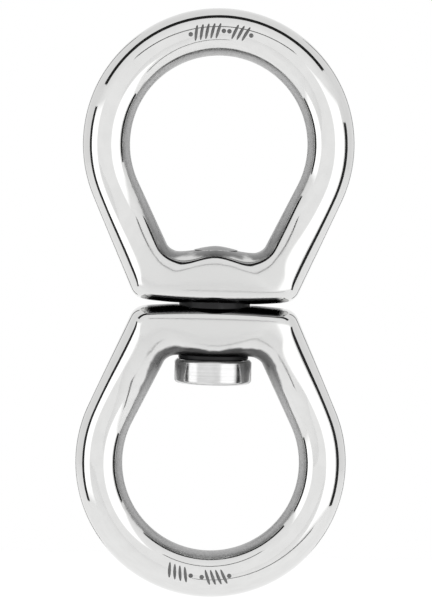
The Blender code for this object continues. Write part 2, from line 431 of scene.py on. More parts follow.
@dataclass(frozen=True)
class TurnedMetal:
    """Metal finished in a lathe, with fine tool marks round its axis."""

    name: str
    colour: Colour
    roughness: float
    groove_pitch: float = 0.16 * MM
    groove_depth: float = 0.004 * MM
    band_pitch: float = 1.1 * MM
    band_roughness: float = 0.12
    stain_size: float = 2.6 * MM
    shade: float = 0.86
    worn_from: float = 0.32
    worn_to: float = 0.66
    worn_roughness: float = 0.05
    hammered_above: float = 1.0
    hammered_blend: float = 0.6 * MM
    hammered_shade: float = 0.36
    hammered_roughness: float = 0.14

    def make(self) -> bpy.types.Material:
        """The finish as a material."""
        made = bpy.data.materials.new(self.name)
        paint = Paint(made)
        where = paint.place()
        x, y, z = paint.parts(where)
        radius = (x * x + y * y) ** 0.5
        grooves = paint.noise(paint.joined(radius, 0.0, z), [self.groove_pitch] * 3, 1.5)
        bands = paint.noise(paint.joined(radius, 0.0, z), [self.band_pitch] * 3, 1.0)
        stain = paint.noise(where, [self.stain_size] * 3, 3.0)
        wear_and_shade = paint.ramped(grooves * 0.6 + stain * 0.4, self.worn_from, self.worn_to)
        darker = dimmed(self.colour, self.shade)
        hammered = paint.ramped(z, self.hammered_above, self.hammered_above + self.hammered_blend)
        uneven = (bands - 0.5) * self.band_roughness + wear_and_shade * self.worn_roughness
        struck = dimmed(self.colour, self.hammered_shade)
        paint.finish(
            {
                "Base Color": paint.tinted(paint.tinted(darker, self.colour, wear_and_shade), struck, hammered),
                "Metallic": 1.0,
                "Roughness": self.roughness + uneven + hammered * self.hammered_roughness,
                "Normal": paint.bumped(grooves, self.groove_depth),
            }
        )
        return made


@dataclass(frozen=True)
class TurnedPlastic:
    """Black acetal with faint turning marks and a rubbed rim."""

    name: str = "turned_acetal"
    colour: Colour = (0.005, 0.005, 0.0055)
    rubbed_colour: Colour = (0.014, 0.014, 0.015)
    roughness: float = 0.46
    gloss: float = 0.25
    groove_pitch: float = 0.14 * MM
    groove_depth: float = 0.003 * MM
    groove_roughness: float = 0.1
    cloud_size: float = 1.7 * MM
    rubbed_from: float = 0.48
    rubbed_to: float = 0.74
    rubbed_gain: float = 0.12

    def make(self) -> bpy.types.Material:
        """The finish as a material."""
        made = bpy.data.materials.new(self.name)
        paint = Paint(made)
        where = paint.place()
        x, y, z = paint.parts(where)
        radius = (x * x + y * y) ** 0.5
        rings = paint.noise(paint.joined(radius, 0.0, z), [self.groove_pitch] * 3, 1.0)
        cloud = paint.noise(where, [self.cloud_size] * 3, 3.0)
        rubbed = paint.ramped(cloud, self.rubbed_from, self.rubbed_to)
        uneven = (rings - 0.5) * self.groove_roughness - rubbed * self.rubbed_gain
        paint.finish(
            {
                "Base Color": paint.tinted(self.colour, self.rubbed_colour, rubbed),
                "Metallic": 0.0,
                "Specular IOR Level": self.gloss,
                "Roughness": self.roughness + uneven,
                "Normal": paint.bumped(rings, self.groove_depth),
            }
        )
        return made


@dataclass(frozen=True)
class StudioPaint:
    """A plain emitting surface for the studio's cards, which may fade towards its rim."""

    name: str
    strength: float
    rim_strength: float

    def make(self) -> bpy.types.Material:
        """The finish as a material."""
        made = bpy.data.materials.new(self.name)
        paint = Paint(made)
        strength = paint.between(self.rim_strength, self.strength, paint.mark("inside"))
        light = paint.wire("ShaderNodeEmission", inputs={"Color": WHITE, "Strength": strength})
        paint.node("ShaderNodeOutputMaterial", inputs={"Surface": light})
        return made


@dataclass(frozen=True)
class FloorPaint:
    """Pale matt board."""

    name: str = "pale_board"
    colour: Colour = (0.93, 0.93, 0.93)
    grain_size: float = 4.0 * MM
    grain_shade: float = 0.985
    roughness: float = 0.8

    def make(self) -> bpy.types.Material:
        """The finish as a material."""
        made = bpy.data.materials.new(self.name)
        paint = Paint(made)
        grain = paint.noise(paint.place(), [self.grain_size] * 3, 3.0)
        board = paint.tinted(dimmed(self.colour, self.grain_shade), self.colour, grain)
        paint.finish({"Base Color": board, "Roughness": self.roughness})
        return made


# ---------------------------------------------------------------------------------------------------------
# Making and handing over pieces
# ---------------------------------------------------------------------------------------------------------


@dataclass(frozen=True)
class Berth:
    """Where a finished piece belongs: its body, its material slot and the CAD nodes it stands for."""

    body: Body
    slot: Slot
    stands_for: tuple[str, ...] = ()


def placed(name: str, mesh: bpy.types.Mesh) -> bpy.types.Object:
    """An object at the origin that shows the mesh."""
    made = bpy.data.objects.new(name, mesh)
    bpy.context.scene.collection.objects.link(made)
    return made


def store(mesh: bpy.types.Mesh, name: str, kind: str, key: str, values: Sequence[float]) -> None:
    """Stores values on the mesh's vertices under a name."""
    mesh.attributes.new(name, kind, "POINT").data.foreach_set(key, values)


def drop(*objects: bpy.types.Object) -> None:
    """Removes helper objects."""
    for helper in objects:
        bpy.data.objects.remove(helper, do_unlink=True)


def as_plain_mesh(source: bpy.types.Object, name: str) -> bpy.types.Mesh:
    """The object's evaluated shape as a mesh of its own, with the source removed."""
    bpy.context.view_layer.update()
    graph = bpy.context.evaluated_depsgraph_get()
    evaluated = source.evaluated_get(graph)
    mesh = bpy.data.meshes.new_from_object(evaluated, preserve_all_data_layers=True, depsgraph=graph)
    mesh.name = name
    drop(source)
    return mesh


def faced_outwards(mesh: bpy.types.Mesh, sharp_above: float = 32.0) -> bpy.types.Mesh:
    """Points a closed mesh's faces outwards and shades it smooth.

    Args:
        mesh: The mesh, which is changed.
        sharp_above: Edges that turn by more than this many degrees stay sharp.

    Returns:
        The same mesh.
    """
    builder = bmesh.new()
    builder.from_mesh(mesh)
    bmesh.ops.remove_doubles(builder, verts=builder.verts, dist=0.0002 * MM)
    bmesh.ops.recalc_face_normals(builder, faces=builder.faces)
    builder.to_mesh(mesh)
    builder.free()
    mesh.shade_smooth()
    mesh.set_sharp_from_angle(angle=math.radians(sharp_above))
    return mesh


def hand_over(name: str, mesh: bpy.types.Mesh, finish: bpy.types.Material, berth: Berth) -> bpy.types.Object:
    """Dresses a finished mesh and sets it on its body.

    Args:
        name: The piece's name.
        mesh: Its mesh, in place.
        finish: The material it wears.
        berth: Where it belongs.

    Returns:
        The piece.
    """
    mesh.materials.clear()
    mesh.materials.append(finish)
    piece = placed(name, mesh)
    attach(piece, berth.body.value)
    if berth.stands_for:
        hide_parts(*berth.stands_for)
    log.info("%s: %d vertices, rides on %s", name, len(mesh.vertices), berth.body.value)
    return piece


def on_circle(centre: Vector, radius: float, angle: float) -> Vector:
    """A point of the XZ plane, as (x, z), at an angle from +X."""
    return centre + radius * Vector((math.cos(angle), math.sin(angle)))


def arc(centre: Vector, radius: float, start: float, end: float, steps: int) -> Outline:
    """Points on a circle from start to end, both included."""
    return [on_circle(centre, radius, start + (end - start) * k / steps) for k in range(steps + 1)]


def straight(start: Vector, end: Vector, steps: int) -> Outline:
    """Points from start to end, with both left out."""
    return [start.lerp(end, k / steps) for k in range(1, steps)]


@dataclass(frozen=True)
class Lathe:
    """Turns profiles about the swivel's axis."""

    steps: int = 128

    def turn(self, name: str, profile: Sequence[tuple[float, float]], closed: bool) -> bpy.types.Mesh:
        """A solid of revolution.

        Args:
            name: The mesh's name.
            profile: Its (radius, z) points. The ends of an open one lie on the axis.
            closed: Whether the profile closes on itself, as for a ring.

        Returns:
            The mesh, shaded.
        """
        builder = bmesh.new()
        points = [builder.verts.new((radius, 0.0, z)) for radius, z in profile]
        following = points[1:] + points[:1] if closed else points[1:]
        edges = [builder.edges.new(pair) for pair in zip(points, following)]
        bmesh.ops.spin(
            builder,
            geom=points + edges,
            cent=(0.0, 0.0, 0.0),
            axis=(0.0, 0.0, 1.0),
            angle=2 * math.pi,
            steps=self.steps,
            use_merge=True,
        )
        bmesh.ops.remove_doubles(builder, verts=builder.verts, dist=0.001 * MM)
        mesh = bpy.data.meshes.new(name)
        builder.to_mesh(mesh)
        builder.free()
        return faced_outwards(mesh)

    def plug(
        self, name: str, radius: float, low: float, high: float, top: float | None = None
    ) -> bpy.types.Mesh:
        """A cutter between two heights.

        Args:
            name: The cutter's name.
            radius: Its radius at the lower height.
            low: The lower height.
            high: The upper height.
            top: Its radius at the upper height, for one that tapers.

        Returns:
            The cutter.
        """
        upper = radius if top is None else top
        return self.turn(name, [(0.0, low), (radius, low), (upper, high), (0.0, high)], closed=False)


# ---------------------------------------------------------------------------------------------------------
# The eyes
# ---------------------------------------------------------------------------------------------------------


@dataclass(frozen=True)
class EyeShape:
    """The forged eye that both halves share, upright with its base at the joint."""

    base: float
    bar: float
    inner_radius: float
    centre_height: float
    outer_leg_angle: float = math.radians(23.7)
    inner_leg_angle: float = math.radians(26.1)
    outer_corner: float = 3.6 * MM
    inner_corner: float = 2.4 * MM
    base_crown: float = 160.0 * MM
    facing_cut: float = 0.25 * MM
    dip_height: float = 10.8 * MM
    dip_half_width: float = 7.4 * MM
    crest_height: float = 12.0 * MM
    crest_sharpness: float = 1.35
    rounded_crest: bool = False
    boss_half_depth: float = 8.6 * MM
    boss_flat_depth: float = 8.7 * MM
    boss_plateau: float = 5.0 * MM
    boss_reach: float = 30.0 * MM
    base_exponent: float = 3.2
    floor_exponent: float = 2.5
    eased_inner_corner: float = 5.6 * MM
    eased_crest_height: float = 12.3 * MM
    shoulder_stations: int = 90
    waist_stations: int = 26
    leg_stations: int = 24
    corner_stations: int = 40
    base_stations: int = 60
    sides: int = 128

    @classmethod
    def from_frame(cls, record: Mapping[str, Any]) -> EyeShape:
        """Reads the eye's size from the upper eye's box and its mount."""
        low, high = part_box("upper_bail")
        dims = next(mount["dims"] for mount in record["mounts"] if mount["name"] == "upper_eye")
        outer_radius = high.x
        return cls(
            base=low.z,
            bar=dims["length_mm"] * MM,
            inner_radius=dims["r_mm"] * MM,
            centre_height=high.z - outer_radius,
        )

    @property
    def outer_radius(self) -> float:
        """Radius of the eye's outer edge."""
        return self.inner_radius + self.bar

    @property
    def ring_centre(self) -> Vector:
        """Centre of the eye's ring, as (x, z)."""
        return Vector((0.0, self.centre_height))

    def inner_corner_centre(self) -> Vector:
        """Centre of the arc between a leg's inner side and the floor, as (x, z)."""
        height = self.base + self.dip_height + self.inner_corner
        below_ring = self.centre_height - height
        reach = self.inner_radius - self.inner_corner - below_ring * math.sin(self.inner_leg_angle)
        return Vector((reach / math.cos(self.inner_leg_angle), height))

    def base_crown_centre(self) -> Vector:
        """Centre of the wide arc that the unfaced base follows, as (x, z)."""
        return Vector((0.0, self.base - self.facing_cut + self.base_crown))

    def outer_corner_centre(self) -> Vector:
        """Centre of the arc between a leg's outer side and the base's wide arc, as (x, z)."""
        normal = Vector((math.cos(self.outer_leg_angle), -math.sin(self.outer_leg_angle)))
        down_the_leg = Vector((normal.y, -normal.x))
        crown = self.base_crown_centre()
        offset = normal.dot(self.ring_centre) + self.outer_radius - self.outer_corner - normal.dot(crown)
        along = math.sqrt((self.base_crown - self.outer_corner) ** 2 - offset**2)
        return crown + normal * offset + down_the_leg * along

    def floor_height(self, x: float) -> float:
        """Height of the floor inside the eye: a low gable over the axle, with a dip on each side."""
        share = min(abs(x) / self.dip_half_width, 1.0)
        rounded = (1.0 + math.cos(math.pi * share)) / 2
        rise = rounded if self.rounded_crest else (1.0 - share) ** self.crest_sharpness
        return self.base + self.dip_height + (self.crest_height - self.dip_height) * rise

    def outer_side(self) -> Outline:
        """The outer outline, from the crown down the +X side to the axis at the base."""
        corner, crown = self.outer_corner_centre(), self.base_crown_centre()
        base_angle = math.atan2(corner.y - crown.y, corner.x - crown.x)
        lean = self.outer_leg_angle
        points = arc(self.ring_centre, self.outer_radius, math.pi / 2, 0.0, self.shoulder_stations)
        points += arc(self.ring_centre, self.outer_radius, 0.0, -lean, self.waist_stations)[1:]
        turn = arc(corner, self.outer_corner, -lean, base_angle, self.corner_stations)
        points += straight(points[-1], turn[0], self.leg_stations) + turn
        return points + arc(crown, self.base_crown, base_angle, -math.pi / 2, self.base_stations)[1:]

    def eased(self) -> EyeShape:
        """The softer outline that the section's flanks follow, beside the crisp edge of the floor."""
        wider = replace(self, inner_corner=self.eased_inner_corner, rounded_crest=True)
        bump = wider.inner_corner_centre().x
        return replace(wider, crest_height=self.eased_crest_height, dip_half_width=bump)

    def inner_side(self) -> Outline:
        """The inner outline, station for station with the outer one."""
        lean = self.inner_leg_angle
        points = arc(self.ring_centre, self.inner_radius, math.pi / 2, 0.0, self.shoulder_stations)
        points += arc(self.ring_centre, self.inner_radius, 0.0, -lean, self.waist_stations)[1:]
        turn = arc(self.inner_corner_centre(), self.inner_corner, -lean, -math.pi / 2, self.corner_stations)
        points += straight(points[-1], turn[0], self.leg_stations) + turn
        across = [turn[-1].x * (1.0 - k / self.base_stations) for k in range(1, self.base_stations + 1)]
        return points + [Vector((x, self.floor_height(x))) for x in across]

    def boss_shares(self, middles: Outline) -> list[float]:
        """How far each station has grown from the round bar, 0, into the boss, 1."""
        distance = 0.0
        shares = [1.0]
        for here, before in zip(middles[-2::-1], middles[:0:-1]):
            distance += (here - before).length
            run = (distance - self.boss_plateau) / (self.boss_reach - self.boss_plateau)
            shares.append((1.0 + math.cos(math.pi * min(max(run, 0.0), 1.0))) / 2)
        return shares[::-1]

    def spine(self, name: str) -> bpy.types.Mesh:
        """The loop of stations round the eye.

        Args:
            name: The mesh's name.

        Returns:
            A closed line of vertices. Each one stores where its section's outer edge lies from it, as
            "across", its own place, as "middle", how far the softer outline lies from the crisp one, as
            "ease", and its share of the boss, as "boss".
        """
        outer, inner = self.outer_side(), self.inner_side()
        middles = [(far + near) / 2 for far, near in zip(outer, inner)]
        reaches = [(far - near) / 2 for far, near in zip(outer, inner)]
        shares = self.boss_shares(middles)
        eases = [soft - near for soft, near in zip(self.eased().inner_side(), inner)]
        half = list(zip(middles, reaches, eases, shares))
        mirrored = [(*(Vector((-v.x, v.y)) for v in station), share) for *station, share in half[-2:0:-1]]
        loop = half + mirrored
        points = [(middle.x, 0.0, middle.y) for middle, *_ in loop]
        across = [(reach.x, 0.0, reach.y) for _, reach, _, _ in loop]
        ease = [(soft.x, 0.0, soft.y) for _, _, soft, _ in loop]
        mesh = bpy.data.meshes.new(name)
        mesh.from_pydata(points, [(k, (k + 1) % len(loop)) for k in range(len(loop))], [])
        store(mesh, "middle", "FLOAT_VECTOR", "vector", [part for point in points for part in point])
        store(mesh, "across", "FLOAT_VECTOR", "vector", [part for reach in across for part in reach])
        store(mesh, "ease", "FLOAT_VECTOR", "vector", [part for soft in ease for part in soft])
        store(mesh, "boss", "FLOAT", "value", [share for *_, share in loop])
        return mesh


class GeometryTree(Graph):
    """A Geometry Nodes tree with named inputs, run on one object."""

    def __init__(self, name: str) -> None:
        """Starts an empty tree that takes and gives geometry."""
        super().__init__(bpy.data.node_groups.new(name, "GeometryNodeTree"))
        self.values: dict[str, Feed] = {}
        self.tree.interface.new_socket("Geometry", in_out="INPUT", socket_type="NodeSocketGeometry")
        self.tree.interface.new_socket("Geometry", in_out="OUTPUT", socket_type="NodeSocketGeometry")
        self.entry = self.tree.nodes.new("NodeGroupInput")

    def given(self, name: str, kind: str, value: Feed) -> Wire:
        """A named input of the tree.

        Args:
            name: The input's name.
            kind: Its socket's type.
            value: What the modifier sets it to.

        Returns:
            The input, for use in the tree.
        """
        self.tree.interface.new_socket(name, in_out="INPUT", socket_type=kind)
        self.values[name] = value
        return Wire(self, self.find(self.entry.outputs, name))

    def size(self, name: str, value: float) -> Wire:
        """A named input for a size in metres or a plain number."""
        return self.given(name, "NodeSocketFloat", value)

    def named(self, name: str, kind: str) -> Wire:
        """A value stored on the geometry under a name."""
        return self.wire("GeometryNodeInputNamedAttribute", {"data_type": kind}, {"Name": name}, "Attribute")

    def stored(self, geometry: Wire, name: str, value: Wire) -> Wire:
        """The geometry with a number stored on its points."""
        inputs = {"Geometry": geometry, "Name": name, "Value": value}
        settings = {"data_type": "FLOAT", "domain": "POINT"}
        return self.wire("GeometryNodeStoreNamedAttribute", settings, inputs)

    def close(self, geometry: Wire, material: bpy.types.Material) -> None:
        """Ends the tree in Realize Instances and Set Material."""
        finish = self.given("Finish", "NodeSocketMaterial", material)
        real = self.wire("GeometryNodeRealizeInstances", inputs={"Geometry": geometry})
        dressed = self.wire("GeometryNodeSetMaterial", inputs={"Geometry": real, "Material": finish})
        self.node("NodeGroupOutput", inputs={"Geometry": dressed})

    def run(self, source: bpy.types.Mesh, name: str) -> bpy.types.Mesh:
        """Runs the tree on a mesh.

        Args:
            source: The mesh that enters the tree.
            name: The name of the mesh that comes out.

        Returns:
            The result as a plain mesh.
        """
        holder = placed(name + "_source", source)
        modifier = holder.modifiers.new("nodes", "NODES")
        modifier.node_group = self.tree
        for item in self.tree.interface.items_tree:
            if item.in_out == "INPUT" and item.name in self.values:
                modifier[item.identifier] = self.values[item.name]
        holder.update_tag()
        return as_plain_mesh(holder, name)


@dataclass(frozen=True)
class RivetedEnd:
    """The axle's spigot and the head that is hammered over it in the upper eye's countersink."""

    spigot_radius: float = 3.5 * MM
    radius: float = 4.6 * MM
    cone: float = 0.85 * MM
    flare: float = 1.4 * MM
    stand: float = 0.1 * MM


@dataclass
class Eye:
    """One forged eye, bored for what it carries."""

    node: str
    body: Body
    shape: EyeShape
    lathe: Lathe
    turned_over: bool
    # Where the painted shade on the faces at the joint starts, by how far they face the gap.
    joint_shade_from: float
    joint_shade_blend: float = 0.12
    flat_softness: float = 1.1 * MM
    joint_face_reach: float = 14.4 * MM
    joint_face_edge: float = 0.8 * MM
    joint_face_from: float = 3.0 * MM
    joint_face_to: float = 4.0 * MM
    front_from: float = 0.72
    front_to: float = 0.99
    flank_from: float = -0.5
    flank_to: float = 0.9
    flank_fade: float = 0.6
    polishing: int = 36
    polishing_fade: float = 0.8
    washer_radius: float = 7.5 * MM
    recess_floor: float = 0.75 * MM
    rivet: RivetedEnd = RivetedEnd()
    bush_radius: float = 5.0 * MM
    seat_height: float = 10.4 * MM
    seat_radius: float = 7.8 * MM

    def forged(self, finish: bpy.types.Material) -> bpy.types.Mesh:
        """The eye as it leaves the dies and is faced, upright: sections swept round the spine."""
        shape = self.shape
        tree = GeometryTree(self.node + "_section")
        sides = tree.given("Sides", "NodeSocketInt", shape.sides)
        bar_depth = tree.size("Bar Half Depth", shape.bar / 2)
        entry = Wire(tree, tree.entry.outputs["Geometry"])
        spine = tree.wire("GeometryNodeMeshToCurve", inputs={"Mesh": entry})
        circle_size = {"Resolution": sides, "Radius": bar_depth}
        circle = tree.wire("GeometryNodeCurvePrimitiveCircle", inputs=circle_size)
        turn = tree.wire("GeometryNodeInputIndex") / sides * (2 * math.pi)
        profile = tree.stored(circle, "turn", turn)
        swept = tree.wire("GeometryNodeCurveToMesh", inputs={"Curve": spine, "Profile Curve": profile})
        sideways = tree.maths("SINE", tree.named("turn", "FLOAT"))
        placed = self.section(tree, bar_depth, sideways)
        set_to = {"Geometry": swept, "Position": placed}
        crisp = tree.wire("GeometryNodeSetPosition", inputs=set_to)
        rubbing = {
            "Value": tree.wire("GeometryNodeInputPosition"),
            "Iterations": tree.given("Polishing", "NodeSocketInt", self.polishing),
            "Weight": abs(sideways) ** self.polishing_fade,
        }
        polished = tree.wire("GeometryNodeBlurAttribute", {"data_type": "FLOAT_VECTOR"}, rubbing)
        formed = tree.wire("GeometryNodeSetPosition", inputs={"Geometry": crisp, "Position": polished})
        tree.close(self.marked(tree, formed, placed), finish)
        return faced_outwards(tree.run(shape.spine(self.node + "_spine"), self.node + "_forged"))

    def section(self, tree: GeometryTree, bar_depth: Wire, sideways: Wire) -> Wire:
        """Places the points of the sections, which change from a round bar to the deep, squarer boss.

        Args:
            tree: The tree that the points are worked out in.
            bar_depth: Half the round bar's depth.
            sideways: The sine of each point's turn round its section.

        Returns:
            The points.
        """
        shape = self.shape
        boss_depth = tree.size("Boss Half Depth", shape.boss_half_depth)
        flat_depth = tree.size("Boss Flat Depth", shape.boss_flat_depth)
        softness = tree.size("Flat Softness", self.flat_softness)
        base_exponent = tree.size("Base Exponent", shape.base_exponent)
        floor_exponent = tree.size("Floor Exponent", shape.floor_exponent)
        base_height = tree.size("Base Height", shape.base)
        boss, across = tree.named("boss", "FLOAT"), tree.named("across", "FLOAT_VECTOR")
        outwards = tree.maths("COSINE", tree.named("turn", "FLOAT"))
        far_side = tree.between(floor_exponent, base_exponent, outwards > 0.0)
        power = 2.0 / tree.between(2.0, far_side, boss)
        reach = tree.maths("SIGN", outwards) * abs(outwards) ** power
        depth = tree.between(bar_depth, boss_depth, boss) * abs(sideways) ** power
        flattened = tree.maths("SMOOTH_MIN", depth, flat_depth, softness) * tree.maths("SIGN", sideways)
        near_floor = 1.0 - tree.ramped(reach, self.flank_from, self.flank_to)
        on_flank = near_floor * abs(sideways) ** self.flank_fade
        eased = tree.stretched(tree.named("ease", "FLOAT_VECTOR"), on_flank)
        on_section = tree.vectors("ADD", tree.named("middle", "FLOAT_VECTOR"), tree.stretched(across, reach))
        x, _, z = tree.parts(tree.vectors("ADD", on_section, eased))
        return tree.joined(x, flattened, tree.maths("MAXIMUM", z, base_height))

    def marked(self, tree: GeometryTree, formed: Wire, placed: Wire) -> Wire:
        """Stores where the finish changes.

        Args:
            tree: The tree that the eye is formed in.
            formed: The eye's surface, whose normals point inwards here.
            placed: Where the points were before the polishing.

        Returns:
            The surface with how far it faces into the eye, as "inward", its share of the boss's flat front
            and back, as "front_flat", and its share of the painted shade on the faces at the joint, as
            "joint_face".
        """
        face_reach = tree.size("Joint Face Reach", self.joint_face_reach)
        shade_start = tree.size("Joint Shade From", self.joint_shade_from)
        normal = tree.wire("GeometryNodeInputNormal", output="Normal")
        x, _, z = tree.parts(placed)
        _, frontal, upward = tree.parts(normal)
        inward = tree.dot(normal, tree.vectors("NORMALIZE", tree.named("across", "FLOAT_VECTOR")))
        front = tree.ramped(abs(frontal), self.front_from, self.front_to) * tree.named("boss", "FLOAT")
        edge = self.joint_face_edge
        inside_corner = 1.0 - tree.ramped(abs(x), face_reach - edge, face_reach + edge)
        near_joint = 1.0 - tree.ramped(z, self.joint_face_from, self.joint_face_to)
        # Painted shade: faces at the joint that face the gap, inside the corners, are marked to be coloured
        # near black.
        facing = tree.ramped(upward, shade_start, shade_start + self.joint_shade_blend)
        shaded = tree.stored(tree.stored(formed, "inward", inward), "front_flat", front)
        return tree.stored(shaded, "joint_face", facing * inside_corner * near_joint)

    def cutters(self) -> list[bpy.types.Mesh]:
        """The plugs that machine the eye, upright."""
        shape, past = self.shape, self.shape.bar
        crest = shape.base + shape.crest_height
        recess = self.lathe.plug("washer_recess", self.washer_radius + FIT, -past, self.recess_floor)
        if self.turned_over:
            seat = shape.base + self.seat_height
            bore = self.lathe.plug("bush_bore", self.bush_radius + FIT, -past, crest + past)
            return [recess, bore, self.lathe.plug("head_spot_face", self.seat_radius, seat, crest + past)]
        rivet = self.rivet
        edge = crest + rivet.stand - rivet.cone
        tight = rivet.spigot_radius + FIT
        mouth = tight + 2 * (rivet.radius - rivet.spigot_radius)
        bore = self.lathe.plug("spigot_bore", tight, -past, crest + past)
        sink = self.lathe.plug("rivet_countersink", tight, edge - rivet.flare, edge + rivet.flare, top=mouth)
        return [recess, bore, sink]

    def build(self, finish: bpy.types.Material) -> bpy.types.Object:
        """Forges, machines and dresses the eye.

        Args:
            finish: The steel's material.

        Returns:
            The piece.
        """
        blank = placed(self.node + "_blank", self.forged(finish))
        tools = [placed(tool.name, tool) for tool in self.cutters()]
        for tool in tools:
            boolean = blank.modifiers.new(tool.name, "BOOLEAN")
            boolean.operation = "DIFFERENCE"
            boolean.solver = "EXACT"
            boolean.object = tool
        mesh = as_plain_mesh(blank, self.node + "_machined")
        drop(*tools)
        if self.turned_over:
            mesh.transform(Matrix.Rotation(math.pi, 4, "X"))
        faced_outwards(mesh)
        name = self.node.replace("bail", "eye")
        return hand_over(name, mesh, finish, Berth(self.body, Slot.POLISHED, (self.node,)))


@dataclass
class StampRow:
    """A row of plain stamped marks on the front of an eye's bar, in place of any lettering."""

    name: str
    body: Body
    shape: EyeShape
    pattern: str
    turned_over: bool
    start: float
    pitch: float = 1.16 * MM
    height: float = 3.5 * MM
    width: float = 0.66 * MM
    dot_width: float = 0.99 * MM
    slant: float = math.radians(18.0)
    radial_shift: float = 0.15 * MM
    stand: float = 0.10 * MM
    sink: float = 0.12 * MM

    def points(self) -> bpy.types.Mesh:
        """One vertex per mark along the row, which stores whether it is a bar, as "bar"."""
        strokes = [Stroke(character) for character in self.pattern]
        marks = [(k, stroke) for k, stroke in enumerate(strokes) if stroke is not Stroke.SPACE]
        mesh = bpy.data.meshes.new(self.name + "_points")
        mesh.from_pydata([(self.start + k * self.pitch, 0.0, 0.0) for k, _ in marks], [], [])
        bars = [1.0 if stroke is Stroke.BAR else 0.0 for _, stroke in marks]
        store(mesh, "bar", "FLOAT", "value", bars)
        return mesh

    def build(self, finish: bpy.types.Material) -> bpy.types.Object:
        """Lays the marks on the bar.

        Args:
            finish: The marks' material.

        Returns:
            The piece.
        """
        shape = self.shape
        tree = GeometryTree(self.name + "_marks")
        width = tree.size("Width", self.width)
        height = tree.size("Height", self.height)
        dot_width = tree.size("Dot Width", self.dot_width)
        ring = tree.size("Ring Radius", shape.inner_radius + shape.bar / 2)
        bar = tree.size("Bar Radius", shape.bar / 2)
        stand = tree.size("Stand", self.stand)
        sink = tree.size("Sink", self.sink)
        shift = tree.size("Radial Shift", self.radial_shift)
        slant = tree.size("Slant", self.slant)
        centre = tree.size("Ring Centre", shape.centre_height)
        entry = Wire(tree, tree.entry.outputs["Geometry"])
        is_bar = tree.named("bar", "FLOAT")
        ball_size = {"Segments": 12, "Rings": 10, "Radius": 0.5}
        ball = tree.wire("GeometryNodeMeshUVSphere", inputs=ball_size)
        tall = tree.between(dot_width, height, is_bar)
        wide = tree.between(dot_width, width, is_bar)
        scale = tree.joined(wide, tall, (stand + sink) * 2.0)
        turn = tree.joined(0.0, 0.0, (0.0 - slant) * is_bar)
        rotation = tree.wire("FunctionNodeEulerToRotation", inputs={0: turn})
        laid = {"Points": entry, "Instance": ball, "Rotation": rotation, "Scale": scale}
        row = tree.wire("GeometryNodeInstanceOnPoints", inputs=laid)
        real = tree.wire("GeometryNodeRealizeInstances", inputs={"Geometry": row})
        along, radial, proud = tree.parts(tree.wire("GeometryNodeInputPosition"))
        radius = ring + shift + radial
        angle = along / ring
        off_crest = shift + radial
        surface = (bar * bar - off_crest * off_crest) ** 0.5
        front = 0.0 - (surface + stand + (proud - (stand + sink)))
        x = radius * tree.maths("SINE", angle)
        z = centre + radius * tree.maths("COSINE", angle)
        set_to = {"Geometry": real, "Position": tree.joined(x, front, z)}
        bent = tree.wire("GeometryNodeSetPosition", inputs=set_to)
        tree.close(bent, finish)
        mesh = tree.run(self.points(), self.name)
        if self.turned_over:
            mesh.transform(Matrix.Diagonal((1.0, 1.0, -1.0, 1.0)))
        faced_outwards(mesh, 60.0)
        return hand_over(self.name, mesh, finish, Berth(self.body, Slot.POLISHED))


# ---------------------------------------------------------------------------------------------------------
# The axle, washers and bush
# ---------------------------------------------------------------------------------------------------------


@dataclass
class Axle:
    """The stepped pin: a riveted end in the upper eye, a journal, and a head in the lower eye."""

    lathe: Lathe
    head_height: float = 5.2 * MM
    head_chamfer: float = 0.5 * MM
    head_rounding: float = 0.8 * MM
    rounding_steps: int = 12
    chamfer_softness: float = 0.12 * MM
    chamfer_sag: float = 0.042 * MM
    centre_radius: float = 1.1 * MM
    centre_depth: float = 0.9 * MM
    journal_radius: float = 4.0 * MM
    shoulder: float = 0.65 * MM
    rivet: RivetedEnd = RivetedEnd()
    crown_steps: int = 8
    crown_sharpness: float = 1.6
    face_groove: float = 0.05 * MM
    face_grooves: int = 7
    groove_steps: int = 6

    def profile(self) -> list[tuple[float, float]]:
        """The axle's (radius, z) points, from its tip down to the middle of the head's face."""
        low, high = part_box("axle")
        tip, foot, radius = high.z, low.z, high.x
        top = foot + self.head_height
        rivet = self.rivet
        shares = [k / self.crown_steps for k in range(self.crown_steps + 1)]
        crowned = [(rivet.radius * k, tip - rivet.cone * k**self.crown_sharpness) for k in shares]
        corner = Vector((radius - self.head_rounding, foot + self.head_rounding))
        turned = arc(corner, self.head_rounding, 0.0, -math.pi / 2, self.rounding_steps)
        rounded = [tuple(point) for point in turned]
        stem = [
            (rivet.spigot_radius, tip - rivet.cone - rivet.flare),
            (rivet.spigot_radius, self.shoulder),
            (self.journal_radius, self.shoulder),
            (self.journal_radius, top),
        ]
        shoulder = [
            (radius - self.head_chamfer - self.chamfer_softness, top),
            (radius - self.head_chamfer, top - self.chamfer_sag),
            (radius - self.chamfer_sag, top - self.head_chamfer),
            (radius, top - self.head_chamfer - self.chamfer_softness),
        ]
        face = self.face_rings(foot, radius - self.head_rounding)
        return crowned + stem + shoulder + rounded + face + [(0.0, foot + self.centre_depth)]

    def face_rings(self, foot: float, reach: float) -> list[tuple[float, float]]:
        """The faint facing grooves across the head's face, ending at the lathe centre's mouth."""
        span = reach - self.centre_radius
        steps = self.face_grooves * self.groove_steps
        height = self.face_groove / 2
        return [
            (reach - span * k / steps, foot + height * (1 - math.cos(2 * math.pi * k / self.groove_steps)))
            for k in range(1, steps + 1)
        ]

    def build(self, finish: bpy.types.Material) -> bpy.types.Object:
        """Turns and dresses the axle."""
        mesh = self.lathe.turn("axle_turned", self.profile(), closed=False)
        return hand_over("axle_pin", mesh, finish, Berth(Body.UPPER_EYE, Slot.TURNED, ("axle",)))


